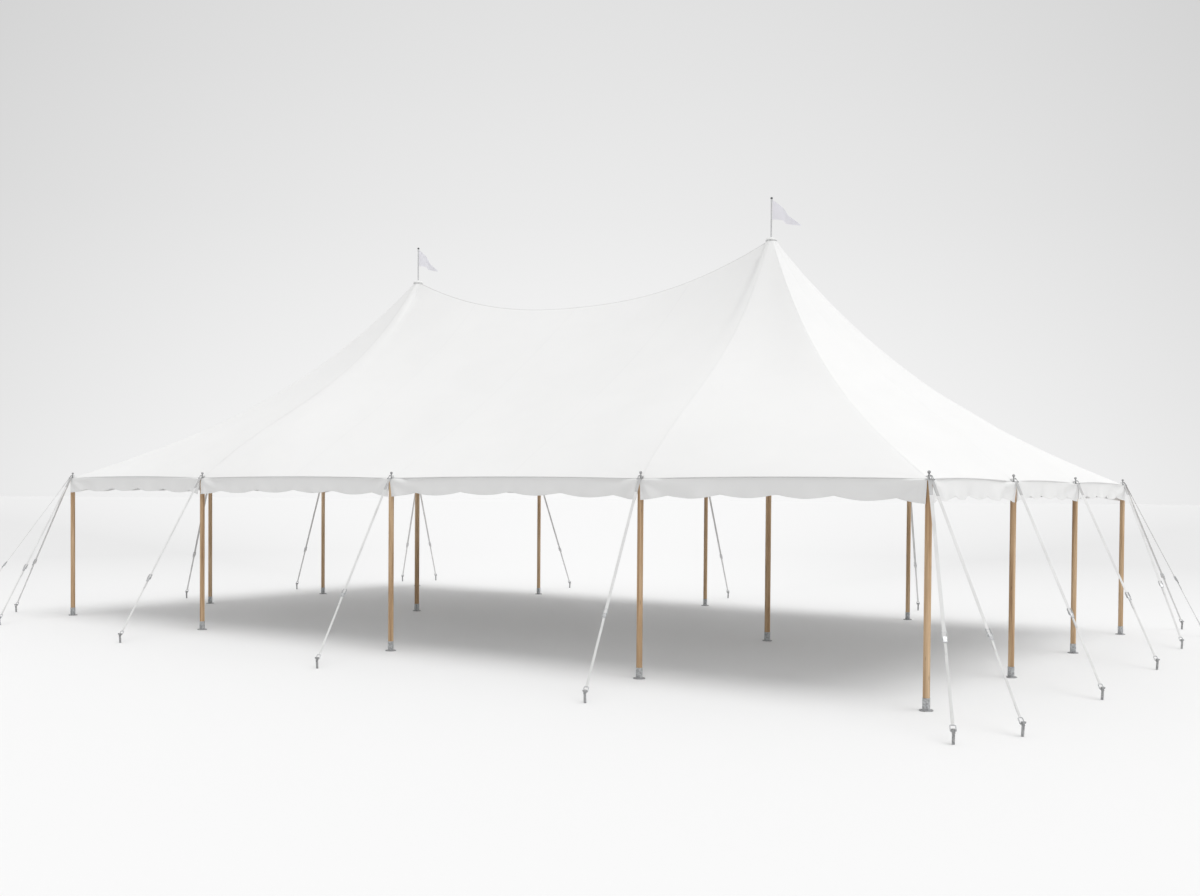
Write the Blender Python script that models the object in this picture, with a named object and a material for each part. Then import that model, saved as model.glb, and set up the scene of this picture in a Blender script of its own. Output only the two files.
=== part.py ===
"""Marquee tent: a 9 m by 16 m pole tent with two peaks, open on all sides.

+X runs along the long side, +Z is up, and the origin is on the ground under the middle.
Sixteen wooden poles stand in steel feet. The canopy is made in three sections, with a
scalloped valance on each side, and taut webbing guys run from the pole heads to stakes.
"""
import math

import bmesh
import bpy
from mathutils import Vector

# Driving dimensions, in metres
LENGTH = 16.0
WIDTH = 9.0
END_BAY = 3.7
PEAK_X = 3.75
EAVE_Z = 2.5
PEAK_Z = 6.25
RIDGE_SAG = 0.74
RIDGE_SAG_POWER = 2.3
EAVE_RISE = 0.025
EAVE_INSET = 0.04
CLEARANCE = 0.0003

# Canopy sections
CANOPY_THICKNESS = 0.005
CELLS_PER_BAY = 5
PROFILE_ROWS = 7
PEAK_HOLE_RADIUS = 0.080
PEAK_HOLE_STEPS = 3
HIP_CURVE = 0.82
HIP_CURVE_FADE = 0.40
POST_CURVE = 0.80
POST_CURVE_FADE = 0.85
MIDDLE_CURVE = 0.20

# Valances
VALANCE_THICKNESS = 0.006
HEM_HEIGHT = 0.016
VALANCE_DEPTH = 0.225
SCALLOP_DEPTH = 0.045
SCALLOP_STEPS = 4
SLIT_HALF_TOP = 0.044
SLIT_HALF_BOTTOM = 0.085

# Poles and feet
TURNED_SIDES = 14
SIDE_POLE_RADIUS = 0.0385
CENTRE_POLE_RADIUS = 0.0440
CENTRE_POLE_TOP = 6.2
PIN_RADIUS = 0.008
PIN_HEAD_RADIUS = 0.019
PIN_TOP = 2.592
FOOT_RADIUS = 0.0775
FOOT_PLATE = 0.010
FOOT_FLOOR = 0.012
FOOT_HEIGHT = 0.140
SLEEVE_WALL = 0.0035

# Peak caps and pennants
CROWN_RADIUS = 0.0747
CAP_RADIUS = 0.0905
CAP_RIM_HEIGHT = 0.022
CAP_SHOULDER_RADIUS = 0.055
CAP_SHOULDER_HEIGHT = 0.045
CAP_HEIGHT = 0.065
SPINDLE_RADIUS = 0.011
SPINDLE_TOP = 6.935
BALL_RADIUS = 0.020
PENNANT_TOP = 6.89
PENNANT_HOIST = 0.33
PENNANT_LENGTH = 0.60
PENNANT_TIP = 0.02
PENNANT_DROOP = 0.20
PENNANT_WAVE = 0.035
PENNANT_THICKNESS = 0.004
PENNANT_STEPS = 6

# Guys
RING_RADIUS = 0.036
RING_BOTTOM = 2.524
RING_TOP = 2.532
STRAP_WIDTH = 0.031
STRAP_THICKNESS = 0.004
STRAP_TOP_Z = 2.530
STRAP_ON_RING = 0.006
RATCHET_AT = 0.66
RATCHET_SIZE = (0.058, 0.032, 0.14)
LINK_SIZE = (0.066, 0.010, 0.078)
LINK_BAR = 0.011
LINK_INTO_STAKE = 0.004
LINK_UNDER_HEAD = 0.012
STAKE_RADIUS = 0.0150
STAKE_HEAD_RADIUS = 0.0265
STAKE_HEIGHT = 0.15
STAKE_HEAD = 0.022
STAKE_LEAN = 0.012
STAKE_SIDES = 10

# Ground distance from each kind of pole to its stakes, for a pole at the front or right
SIDE_GUY = (0.50, -1.85)
RIGHT_END_GUY = (1.36, -1.08)
LEFT_END_GUY = (1.36, -0.45)
CORNER_GUYS = ((0.85, -1.58), (1.26, -0.80))
BACK_RIGHT_GUYS = ((0.68, 1.50), (1.16, 0.55), (1.20, -1.45))
FRONT_LEFT_GUYS = ((-0.55, 1.68), (0.96, 1.38), (1.30, 0.33))

HALF_LENGTH = LENGTH / 2
HALF_WIDTH = WIDTH / 2
SIDE_POSTS_X = (-HALF_LENGTH, -HALF_LENGTH + END_BAY, 0.0, HALF_LENGTH - END_BAY, HALF_LENGTH)
END_POSTS_Y = (-HALF_WIDTH, -HALF_WIDTH / 3, HALF_WIDTH / 3, HALF_WIDTH)
POLE_TOP = EAVE_Z - HEM_HEIGHT - CLEARANCE

# The hem runs just inside the pole pins, and the canopy just inside the hem
HEM_INSET = PIN_RADIUS + CLEARANCE
CANOPY_INSET = HEM_INSET + VALANCE_THICKNESS + CLEARANCE
SIDE_BAYS = (CANOPY_INSET - HALF_LENGTH, *SIDE_POSTS_X[1:-1], HALF_LENGTH - CANOPY_INSET)
END_BAYS = (CANOPY_INSET - HALF_WIDTH, *END_POSTS_Y[1:-1], HALF_WIDTH - CANOPY_INSET)


def clear_scene():
    for obj in list(bpy.data.objects):
        bpy.data.objects.remove(obj, do_unlink=True)


def material(name, colour, roughness, metallic=0.0):
    mat = bpy.data.materials.new(name)
    mat.use_nodes = True
    shader = mat.node_tree.nodes["Principled BSDF"]
    shader.inputs["Base Color"].default_value = (*colour, 1.0)
    shader.inputs["Roughness"].default_value = roughness
    shader.inputs["Metallic"].default_value = metallic
    return mat


def object_from(bm, name, mat, smooth_angle=None):
    """Close the books on a bmesh: outward faces, one material, one object."""
    bmesh.ops.recalc_face_normals(bm, faces=bm.faces)
    mesh = bpy.data.meshes.new(name)
    bm.to_mesh(mesh)
    bm.free()
    mesh.materials.append(mat)
    if smooth_angle is not None:
        mesh.shade_smooth()
        mesh.set_sharp_from_angle(angle=math.radians(smooth_angle))
    obj = bpy.data.objects.new(name, mesh)
    bpy.context.scene.collection.objects.link(obj)
    return obj


def turned_bmesh(profile, sides, lean=Vector((0, 0, 0))):
    """Turn (radius, height) points about Z; both ends of the profile lie on the axis.

    The lean shifts each ring sideways in proportion to its height, so a leaning stake
    keeps a level foot.
    """
    bm = bmesh.new()
    bottom = bm.verts.new(Vector((0, 0, profile[0][1])) + lean * profile[0][1])
    top = bm.verts.new(Vector((0, 0, profile[-1][1])) + lean * profile[-1][1])
    rings = []
    for radius, height in profile[1:-1]:
        ring = []
        for side in range(sides):
            angle = 2 * math.pi * side / sides
            point = Vector((radius * math.cos(angle), radius * math.sin(angle), height))
            ring.append(bm.verts.new(point + lean * height))
        rings.append(ring)
    for side in range(sides):
        after = (side + 1) % sides
        bm.faces.new((bottom, rings[0][side], rings[0][after]))
        bm.faces.new((top, rings[-1][after], rings[-1][side]))
        for lower, upper in zip(rings, rings[1:]):
            bm.faces.new((lower[side], upper[side], upper[after], lower[after]))
    return bm


def turned(name, profile, mat, location, sides=TURNED_SIDES):
    obj = object_from(turned_bmesh(profile, sides), name, mat, smooth_angle=35)
    obj.location = location
    return obj


def box_bmesh(size, matrix):
    bm = bmesh.new()
    bmesh.ops.create_cube(bm, size=1.0)
    bmesh.ops.scale(bm, vec=size, verts=bm.verts)
    bmesh.ops.transform(bm, matrix=matrix, verts=bm.verts)
    return bm


def sheet_bmesh(columns):
    """A sheet of quads through columns of points, welded where points coincide."""
    bm = bmesh.new()
    grid = [[bm.verts.new(point) for point in column] for column in columns]
    for left, right in zip(grid, grid[1:]):
        for row in range(len(left) - 1):
            bm.faces.new((left[row], right[row], right[row + 1], left[row + 1]))
    return bm


def thicken(bm, offset):
    """Extrude a whole sheet by one offset, which makes a closed body of it."""
    bmesh.ops.remove_doubles(bm, verts=bm.verts, dist=1e-5)
    result = bmesh.ops.extrude_face_region(bm, geom=bm.faces[:], use_keep_orig=True)
    moved = [item for item in result["geom"] if isinstance(item, bmesh.types.BMVert)]
    bmesh.ops.translate(bm, vec=offset, verts=moved)


def union(base, others):
    """Join bodies into one with exact Boolean unions, and remove the ones used up."""
    for other in others:
        modifier = base.modifiers.new("union", "BOOLEAN")
        modifier.operation = "UNION"
        modifier.solver = "EXACT"
        modifier.object = other
        graph = bpy.context.evaluated_depsgraph_get()
        joined = bpy.data.meshes.new_from_object(base.evaluated_get(graph))
        base.modifiers.clear()
        base.data = joined
        bpy.data.objects.remove(other, do_unlink=True)
    return base


def eave_bow(position, bays):
    """How far the eave has bowed, 0 at a post and 1 in mid bay, in straight steps."""
    position = min(max(position, bays[0]), bays[-1])
    for start, end in zip(bays, bays[1:]):
        if position <= end:
            step = (position - start) / (end - start) * CELLS_PER_BAY
            cell = min(max(int(step), 0), CELLS_PER_BAY - 1)
            values = [4 * v * (1 - v) for v in (cell / CELLS_PER_BAY, (cell + 1) / CELLS_PER_BAY)]
            return values[0] + (values[1] - values[0]) * (step - cell)


def bay_stations(bays, steps):
    """Stations along a side: each bay is cut in the same number of steps."""
    stations = []
    for start, end in zip(bays, bays[1:]):
        stations += [start + (end - start) * step / steps for step in range(steps)]
    return stations + [bays[-1]]


def side_eave(x, sign, inset):
    """A point on a long side's eave; sign is -1 at the front and 1 at the back."""
    bow = eave_bow(x, SIDE_BAYS)
    return Vector((x, sign * (HALF_WIDTH - inset - EAVE_INSET * bow), EAVE_Z + EAVE_RISE * bow))


def end_eave(y, sign, inset):
    """A point on a short side's eave; sign is 1 at the right and -1 at the left."""
    bow = eave_bow(y, END_BAYS)
    return Vector((sign * (HALF_LENGTH - inset - EAVE_INSET * bow), y, EAVE_Z + EAVE_RISE * bow))


def canopy_line(top, eave, peakness, hip=0.0):
    """Points from the ridge or peak to the eave, hollow as a tensioned canopy is.

    peakness is 1 where the line starts at a peak and 0 at the middle of the ridge.
    hip is 1 where the line ends at a corner and 0 at the poles beside it.
    """
    points = []
    for row in range(PROFILE_ROWS + 1):
        t = row / PROFILE_ROWS
        post_curve = POST_CURVE - POST_CURVE_FADE * t
        hip_curve = HIP_CURVE - HIP_CURVE_FADE * t
        end_curve = post_curve + (hip_curve - post_curve) * hip
        curve = MIDDLE_CURVE + (end_curve - MIDDLE_CURVE) * peakness ** 2
        drop = t + curve * t * (1 - t)
        point = top.lerp(eave, t)
        point.z = top.z + (eave.z - top.z) * drop
        points.append(point)
    return points


def ridge_point(x):
    share = min(abs(x) / (PEAK_X - PEAK_HOLE_RADIUS), 1.0)
    return Vector((x, 0.0, PEAK_Z - RIDGE_SAG * (1 - share ** RIDGE_SAG_POWER)))


def peak_hole_point(centre_x, angle):
    x = centre_x + PEAK_HOLE_RADIUS * math.cos(angle)
    return Vector((x, PEAK_HOLE_RADIUS * math.sin(angle), PEAK_Z))


def canopy_middle(mat):
    """The section between the peaks, which hangs over the ridge to both eaves."""
    eaves = bay_stations(SIDE_BAYS[1:-1], CELLS_PER_BAY)
    first_cell = eaves[1] - eaves[0]
    cut = [eaves[0] + first_cell * step / PEAK_HOLE_STEPS for step in range(PEAK_HOLE_STEPS)]
    eaves = cut + eaves[1:-1] + [-x for x in reversed(cut)]
    ridge_share = (PEAK_X - PEAK_HOLE_RADIUS) / eaves[-1 - PEAK_HOLE_STEPS]
    halves = []
    for sign in (-1, 1):
        columns = []
        for x in eaves:
            from_end = (abs(x) - eaves[-1 - PEAK_HOLE_STEPS]) / first_cell
            if from_end > 0:
                side = math.copysign(1, x)
                angle = math.pi / 2 * from_end
                hole = peak_hole_point(0.0, angle)
                top = Vector((side * (PEAK_X - hole.x), sign * hole.y, PEAK_Z))
                peakness = 1.0
            else:
                top = ridge_point(x * ridge_share)
                peakness = abs(top.x) / PEAK_X
            columns.append(canopy_line(top, side_eave(x, sign, CANOPY_INSET), peakness))
        halves.append(sheet_bmesh(columns))
    front, back = halves
    spare = bpy.data.meshes.new("canopy_back_half")
    back.to_mesh(spare)
    back.free()
    front.from_mesh(spare)
    bpy.data.meshes.remove(spare)
    thicken(front, Vector((0, 0, -CANOPY_THICKNESS)))
    return object_from(front, "canopy_middle", mat, smooth_angle=30)


def canopy_end(side, name, mat):
    """An end section, from the inner side posts round the end; side is 1 at the right."""
    inner_x = HALF_LENGTH - END_BAY + CLEARANCE
    peak_x = PEAK_X + CLEARANCE
    along = bay_stations(SIDE_BAYS[3:], CELLS_PER_BAY)
    across = bay_stations(END_BAYS, CELLS_PER_BAY)
    front = [side_eave(max(x, inner_x), -1, CANOPY_INSET) for x in along]
    end = [end_eave(y, 1, CANOPY_INSET) for y in across]
    back = [Vector((point.x, -point.y, point.z)) for point in reversed(front)]
    eaves = front[:-1] + end + back[1:]
    first_angle = math.atan2(eaves[0].y, eaves[0].x - peak_x)
    columns = []
    for eave in eaves:
        angle = math.atan2(eave.y, eave.x - peak_x) * (math.pi / 2) / abs(first_angle)
        from_post = min((eave.x - inner_x) / END_BAY, (abs(eave.y) - END_POSTS_Y[2]) / (WIDTH / 3))
        line = canopy_line(peak_hole_point(peak_x, angle), eave, 1.0, max(from_post, 0.0))
        columns.append([Vector((side * point.x, point.y, point.z)) for point in line])
    bm = sheet_bmesh(columns)
    thicken(bm, Vector((0, 0, -CANOPY_THICKNESS)))
    return object_from(bm, name, mat, smooth_angle=30)


def valance_stations(bays, first, last):
    """Stations and hanging depths along a side, with a slit at every post."""
    stations = [(first, HEM_HEIGHT), (last, HEM_HEIGHT)]
    stations += [(post, HEM_HEIGHT) for post in bays]
    for start, end in zip(bays, bays[1:]):
        for step in range(CELLS_PER_BAY * SCALLOP_STEPS + 1):
            position = start + (end - start) * step / (CELLS_PER_BAY * SCALLOP_STEPS)
            nearest = min(position - start, end - position)
            if nearest >= SLIT_HALF_BOTTOM:
                wave = abs(math.sin(math.pi * step / SCALLOP_STEPS))
                stations.append((position, VALANCE_DEPTH + SCALLOP_DEPTH * wave))
        for post, away in ((start, 1), (end, -1)):
            stations.append((post + away * SLIT_HALF_TOP, HEM_HEIGHT))
            stations.append((post + away * SLIT_HALF_BOTTOM, VALANCE_DEPTH))
    return sorted(set(stations))


def valance(name, bays, first, last, eave_at, inward, mat):
    """A hem along the eave with scalloped panels under it, one panel to a bay."""
    columns = []
    for position, depth in valance_stations(bays, first, last):
        top = eave_at(position)
        columns.append([top, top - Vector((0, 0, depth))])
    bm = sheet_bmesh(columns)
    thicken(bm, inward * VALANCE_THICKNESS)
    return object_from(bm, name, mat)


def valances(mat):
    side_end = HALF_LENGTH - HEM_INSET
    end_end = HALF_WIDTH - CANOPY_INSET
    for name, sign in (("valance_front", -1), ("valance_back", 1)):
        valance(name, SIDE_BAYS, -side_end, side_end,
                lambda x: side_eave(x, sign, HEM_INSET), Vector((0, -sign, 0)), mat)
    for name, sign in (("valance_left", -1), ("valance_right", 1)):
        valance(name, END_BAYS, -end_end, end_end,
                lambda y: end_eave(y, sign, HEM_INSET), Vector((-sign, 0, 0)), mat)


def foot_profile(pole_radius):
    bore = pole_radius + CLEARANCE
    sleeve = bore + SLEEVE_WALL
    return [(0, 0), (FOOT_RADIUS, 0), (FOOT_RADIUS, FOOT_PLATE), (sleeve, FOOT_PLATE),
            (sleeve, FOOT_HEIGHT), (bore, FOOT_HEIGHT), (bore, FOOT_FLOOR), (0, FOOT_FLOOR)]


def side_pole_profile():
    neck = PIN_TOP - 2 * PIN_HEAD_RADIUS
    return [(0, FOOT_FLOOR + CLEARANCE), (SIDE_POLE_RADIUS, FOOT_FLOOR + CLEARANCE),
            (SIDE_POLE_RADIUS, POLE_TOP), (PIN_RADIUS, POLE_TOP), (PIN_RADIUS, neck),
            (PIN_HEAD_RADIUS, neck + 0.6 * PIN_HEAD_RADIUS),
            (PIN_HEAD_RADIUS, PIN_TOP - 0.6 * PIN_HEAD_RADIUS),
            (PIN_RADIUS, PIN_TOP), (0, PIN_TOP)]


def centre_pole_profile():
    return [(0, FOOT_FLOOR + CLEARANCE), (CENTRE_POLE_RADIUS, FOOT_FLOOR + CLEARANCE),
            (CENTRE_POLE_RADIUS, CENTRE_POLE_TOP), (0, CENTRE_POLE_TOP)]


def peak_cap_profile():
    """Crown plug inside the canopy's peak hole, cap over its rim, spindle and ball."""
    bottom = CENTRE_POLE_TOP + CLEARANCE
    rim = PEAK_Z + CLEARANCE
    ball = SPINDLE_TOP - BALL_RADIUS
    return [(0, bottom), (CROWN_RADIUS, bottom), (CROWN_RADIUS, rim), (CAP_RADIUS, rim),
            (CAP_RADIUS, rim + CAP_RIM_HEIGHT), (CAP_SHOULDER_RADIUS, rim + CAP_SHOULDER_HEIGHT),
            (SPINDLE_RADIUS, rim + CAP_HEIGHT),
            (SPINDLE_RADIUS, ball - 0.85 * BALL_RADIUS), (BALL_RADIUS, ball),
            (0.6 * BALL_RADIUS, ball + 0.8 * BALL_RADIUS), (0, SPINDLE_TOP)]


def side_posts():
    """Label and place of every pole round the tent."""
    posts = []
    for row, sign in (("front", -1), ("back", 1)):
        for number, x in enumerate(SIDE_POSTS_X, start=1):
            posts.append((f"{row}_{number}", x, sign * HALF_WIDTH))
    for row, sign in (("left", -1), ("right", 1)):
        for number, y in enumerate(END_POSTS_Y[1:-1], start=1):
            posts.append((f"{row}_{number}", sign * HALF_LENGTH, y))
    return posts


def guy_spreads(x, y):
    """Ground offsets of a pole's stakes, turned half round for the back and the left."""
    turn = 1 if (x > 0 and abs(x) == HALF_LENGTH) or (abs(x) < HALF_LENGTH and y < 0) else -1
    if abs(x) < HALF_LENGTH:
        spreads = [SIDE_GUY]
    elif abs(y) < HALF_WIDTH:
        spreads = [RIGHT_END_GUY if x > 0 else LEFT_END_GUY]
    elif x * y < 0:
        spreads = CORNER_GUYS
    elif x > 0:
        spreads = BACK_RIGHT_GUYS
    else:
        spreads = FRONT_LEFT_GUYS
    return [Vector((turn * dx, turn * dy, 0)) for dx, dy in spreads]


def guy_frame(start, end):
    """Rotation that lays Z along the guy and X level, so that the webbing lies flat."""
    return (end - start).to_track_quat("Z", "Y").to_matrix().to_4x4()


def guy_link(start, end, mat):
    """Rectangular steel link between the webbing and the stake's neck."""
    width, thickness, length = LINK_SIZE
    outline = [(-width / 2, 0), (width / 2, 0), (width / 2, length), (-width / 2, length)]
    inner = [(-width / 2 + LINK_BAR, LINK_BAR), (width / 2 - LINK_BAR, LINK_BAR),
             (width / 2 - LINK_BAR, length - LINK_BAR), (-width / 2 + LINK_BAR, length - LINK_BAR)]
    bm = bmesh.new()
    outer_verts = [bm.verts.new((x, -thickness / 2, z)) for x, z in outline]
    inner_verts = [bm.verts.new((x, -thickness / 2, z)) for x, z in inner]
    for corner in range(4):
        after = (corner + 1) % 4
        bm.faces.new((outer_verts[corner], outer_verts[after], inner_verts[after], inner_verts[corner]))
    thicken(bm, Vector((0, thickness, 0)))
    matrix = guy_frame(start, end)
    matrix.translation = end - (end - start).normalized() * length
    bmesh.ops.transform(bm, matrix=matrix, verts=bm.verts)
    return object_from(bm, "link", mat)


def guy_stake(foot, outward, mat):
    neck = STAKE_HEIGHT - STAKE_HEAD
    profile = [(0, 0), (STAKE_RADIUS, 0), (STAKE_RADIUS, neck), (STAKE_HEAD_RADIUS, neck),
               (STAKE_HEAD_RADIUS, STAKE_HEIGHT), (0, STAKE_HEIGHT)]
    lean = outward.normalized() * STAKE_LEAN / STAKE_HEIGHT
    obj = object_from(turned_bmesh(profile, STAKE_SIDES, lean), "stake", mat, smooth_angle=35)
    obj.location = foot
    return obj


def guy_parts(head, spread, mat):
    """Webbing, ratchet, link and stake of one guy, all of them touching the next."""
    outward = spread.normalized()
    foot = Vector((head.x, head.y, 0)) + spread
    start = Vector((head.x, head.y, STRAP_TOP_Z)) + outward * (RING_RADIUS - STRAP_ON_RING)
    neck_z = STAKE_HEIGHT - STAKE_HEAD - LINK_UNDER_HEAD
    end = foot + outward * (STAKE_LEAN - STAKE_RADIUS + LINK_INTO_STAKE) + Vector((0, 0, neck_z))
    run = end - start
    along = run.normalized()
    strap_end = end - along * (LINK_SIZE[2] - LINK_BAR / 2)
    frame = guy_frame(start, end)
    strap_frame = frame.copy()
    strap_frame.translation = (start + strap_end) / 2
    strap_size = (STRAP_WIDTH, STRAP_THICKNESS, (strap_end - start).length)
    strap = object_from(box_bmesh(strap_size, strap_frame), "strap", mat)
    ratchet_frame = frame.copy()
    ratchet_frame.translation = start + run * RATCHET_AT
    ratchet = object_from(box_bmesh(RATCHET_SIZE, ratchet_frame), "ratchet", mat)
    return [strap, ratchet, guy_link(start, end, mat), guy_stake(foot, outward, mat)]


def guy_ring(head, mat):
    """Steel ring that drops over the pole's pin and holds the webbing."""
    bore = PIN_RADIUS + CLEARANCE
    bm = bmesh.new()
    loops = []
    for radius, height in ((bore, RING_BOTTOM), (RING_RADIUS, RING_BOTTOM),
                           (RING_RADIUS, RING_TOP), (bore, RING_TOP)):
        loop = []
        for side in range(TURNED_SIDES):
            angle = 2 * math.pi * side / TURNED_SIDES
            place = Vector((head.x, head.y, 0))
            loop.append(bm.verts.new(place + Vector((radius * math.cos(angle), radius * math.sin(angle), height))))
        loops.append(loop)
    for inner, outer in zip(loops, loops[1:] + loops[:1]):
        for side in range(TURNED_SIDES):
            after = (side + 1) % TURNED_SIDES
            bm.faces.new((inner[side], outer[side], outer[after], inner[after]))
    return object_from(bm, "ring", mat)


def guy(name, x, y, mat):
    head = Vector((x, y, 0))
    ring = guy_ring(head, mat)
    parts = []
    for spread in guy_spreads(x, y):
        parts += guy_parts(head, spread, mat)
    union(ring, parts)
    ring.name = name
    return ring


def pennant(name, peak_x, mat):
    """A pennant held at its hoist by the spindle, drooping and waved by a light wind."""
    hoist_x = peak_x + SPINDLE_RADIUS + CLEARANCE
    columns = []
    for step in range(PENNANT_STEPS + 1):
        share = step / PENNANT_STEPS
        height = PENNANT_HOIST + (PENNANT_TIP - PENNANT_HOIST) * share
        middle = PENNANT_TOP - PENNANT_HOIST / 2 - PENNANT_DROOP * share ** 1.5
        y = PENNANT_WAVE * math.sin(2 * math.pi * share) * share - PENNANT_THICKNESS / 2
        x = hoist_x + PENNANT_LENGTH * share
        columns.append([Vector((x, y, middle + height / 2)), Vector((x, y, middle - height / 2))])
    bm = sheet_bmesh(columns)
    thicken(bm, Vector((0, PENNANT_THICKNESS, 0)))
    return object_from(bm, name, mat)


def build():
    clear_scene()
    canvas = material("coated_canvas", (0.90, 0.90, 0.89), 0.55)
    wood = material("pole_wood", (0.50, 0.36, 0.23), 0.60)
    steel = material("galvanized_steel", (0.42, 0.43, 0.44), 0.40, 0.9)
    webbing = material("webbing", (0.86, 0.86, 0.84), 0.75)
    painted = material("painted_metal", (0.80, 0.80, 0.80), 0.35)
    bunting = material("pennant_cloth", (0.72, 0.71, 0.76), 0.80)

    canopy_middle(canvas)
    canopy_end(1, "canopy_end_right", canvas)
    canopy_end(-1, "canopy_end_left", canvas)
    valances(canvas)

    for label, x, y in side_posts():
        turned(f"pole_{label}", side_pole_profile(), wood, (x, y, 0))
        turned(f"foot_{label}", foot_profile(SIDE_POLE_RADIUS), steel, (x, y, 0))
        guy(f"guy_{label}", x, y, webbing)

    for label, x in (("left", -PEAK_X), ("right", PEAK_X)):
        turned(f"centre_pole_{label}", centre_pole_profile(), wood, (x, 0, 0))
        turned(f"centre_foot_{label}", foot_profile(CENTRE_POLE_RADIUS), steel, (x, 0, 0))
        turned(f"peak_cap_{label}", peak_cap_profile(), painted, (x, 0, 0), sides=20)
        pennant(f"pennant_{label}", x, bunting)


build()
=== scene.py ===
"""Looks of the marquee tent: canvas, valances, seams, poles, feet, guys, caps and pennants."""
from math import atan2, copysign, cos, hypot, pi, radians, sin, sqrt

import bmesh
import bpy
from mathutils import Matrix, Vector


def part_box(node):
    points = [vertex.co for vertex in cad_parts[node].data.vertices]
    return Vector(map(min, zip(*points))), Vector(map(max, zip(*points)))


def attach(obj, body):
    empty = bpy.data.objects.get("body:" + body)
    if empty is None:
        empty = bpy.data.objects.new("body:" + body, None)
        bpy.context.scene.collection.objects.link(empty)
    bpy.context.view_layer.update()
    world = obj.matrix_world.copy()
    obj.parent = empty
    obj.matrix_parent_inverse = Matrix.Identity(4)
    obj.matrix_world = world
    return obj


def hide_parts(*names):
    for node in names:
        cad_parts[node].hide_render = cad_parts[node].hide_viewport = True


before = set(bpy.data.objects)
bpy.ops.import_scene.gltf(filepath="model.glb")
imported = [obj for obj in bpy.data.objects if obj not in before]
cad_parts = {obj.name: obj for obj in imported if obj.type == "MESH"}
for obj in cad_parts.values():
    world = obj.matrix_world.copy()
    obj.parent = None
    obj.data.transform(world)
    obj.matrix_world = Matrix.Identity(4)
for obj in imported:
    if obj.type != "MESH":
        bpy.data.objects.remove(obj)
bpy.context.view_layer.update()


def centre(node):
    low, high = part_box(node)
    return (low + high) / 2


# Sizes of the model, in metres
HALF_LENGTH = centre("pole_front_5").x
HALF_WIDTH = centre("pole_back_5").y
INNER_X = centre("pole_front_4").x
END_Y = centre("pole_right_2").y
PEAK_X = centre("centre_pole_right").x
END_BAY = HALF_LENGTH - INNER_X
CORNER_Y = HALF_WIDTH - END_Y
EAVE_Z = 2.5
PEAK_Z = 6.25
RIDGE_SAG = 0.74
RIDGE_SAG_POWER = 2.3
EAVE_RISE = 0.025
EAVE_INSET = 0.04
PEAK_HOLE_RADIUS = 0.080
HIP_CURVE = 0.82
HIP_CURVE_FADE = 0.40
POST_CURVE = 0.80
POST_CURVE_FADE = 0.85
MIDDLE_CURVE = 0.20
HEM_INSET = 0.0083
CANOPY_INSET = 0.0146
VALANCE_DEPTH = 0.225
SCALLOP_DEPTH = 0.045
SCALLOPS = 5
POLE_TOP = 2.4837
PIN_TOP = 2.592
SIDE_RADIUS = 0.0385
CENTRE_RADIUS = 0.0440
CENTRE_POLE_TOP = 6.2
CLEARANCE = 0.0003

SIDES = (("front", -1), ("back", 1))
ENDS = (("left", -1), ("right", 1))
SIDE_POSTS = (-HALF_LENGTH, -INNER_X, 0.0, INNER_X, HALF_LENGTH)
END_POSTS = (-HALF_WIDTH, -END_Y, END_Y, HALF_WIDTH)
SIDE_BAYS = (CANOPY_INSET - HALF_LENGTH, -INNER_X, 0.0, INNER_X, HALF_LENGTH - CANOPY_INSET)
END_BAYS = (CANOPY_INSET - HALF_WIDTH, -END_Y, END_Y, HALF_WIDTH - CANOPY_INSET)
UP = Vector((0, 0, 1))
shift = Matrix.Translation


# Small mesh tools
def smooth(value, low=0.0, high=1.0):
    """Ease from 0 at low to 1 at high."""
    share = min(max((value - low) / (high - low), 0.0), 1.0)
    return share * share * (3 - 2 * share)


def circle(sides):
    """Cosines and sines round a circle."""
    angles = [2 * pi * side / sides for side in range(sides)]
    return [(cos(angle), sin(angle)) for angle in angles]


def as_mesh(bm, name):
    """Make a mesh of a bmesh, which is freed."""
    mesh = bpy.data.meshes.new(name)
    bm.to_mesh(mesh)
    bm.free()
    return mesh


def linked(name, data):
    """A new object in the scene."""
    obj = bpy.data.objects.new(name, data)
    bpy.context.scene.collection.objects.link(obj)
    return obj


def piece(bm, name, mat, sharp=35, replaced=()):
    """Make a shown piece of a bmesh, riding on the tent."""
    bmesh.ops.recalc_face_normals(bm, faces=bm.faces)
    mesh = as_mesh(bm, name)
    mesh.materials.append(mat)
    mesh.shade_smooth()
    mesh.set_sharp_from_angle(angle=radians(sharp))
    obj = linked(name, mesh)
    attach(obj, "root")
    if replaced:
        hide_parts(*replaced)
    return obj


def moved(bm, matrix):
    bmesh.ops.transform(bm, matrix=matrix, verts=bm.verts)
    return bm


def add(target, source, matrix=Matrix()):
    """Put one bmesh into another."""
    spare = as_mesh(moved(source, matrix), "spare")
    target.from_mesh(spare)
    bpy.data.meshes.remove(spare)


def grid(bm, columns):
    """Quads through columns of points."""
    rows = [[bm.verts.new(point) for point in column] for column in columns]
    for left, right in zip(rows, rows[1:]):
        for row in range(len(left) - 1):
            bm.faces.new((left[row], right[row], right[row + 1], left[row + 1]))


def bridge(bm, lower, upper):
    """Faces between two rings, one of which may be a single point."""
    sides = max(len(lower), len(upper))
    for side in range(sides):
        after = (side + 1) % sides
        corners = [lower[side % len(lower)], lower[after % len(lower)],
                   upper[after % len(upper)], upper[side % len(upper)]]
        bm.faces.new(list(dict.fromkeys(corners)))


def tube(bm, rings):
    """Faces through rings, with flat ends."""
    for lower, upper in zip(rings, rings[1:]):
        bridge(bm, lower, upper)
    bm.faces.new(rings[0][::-1])
    bm.faces.new(rings[-1])
    return bm


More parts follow.
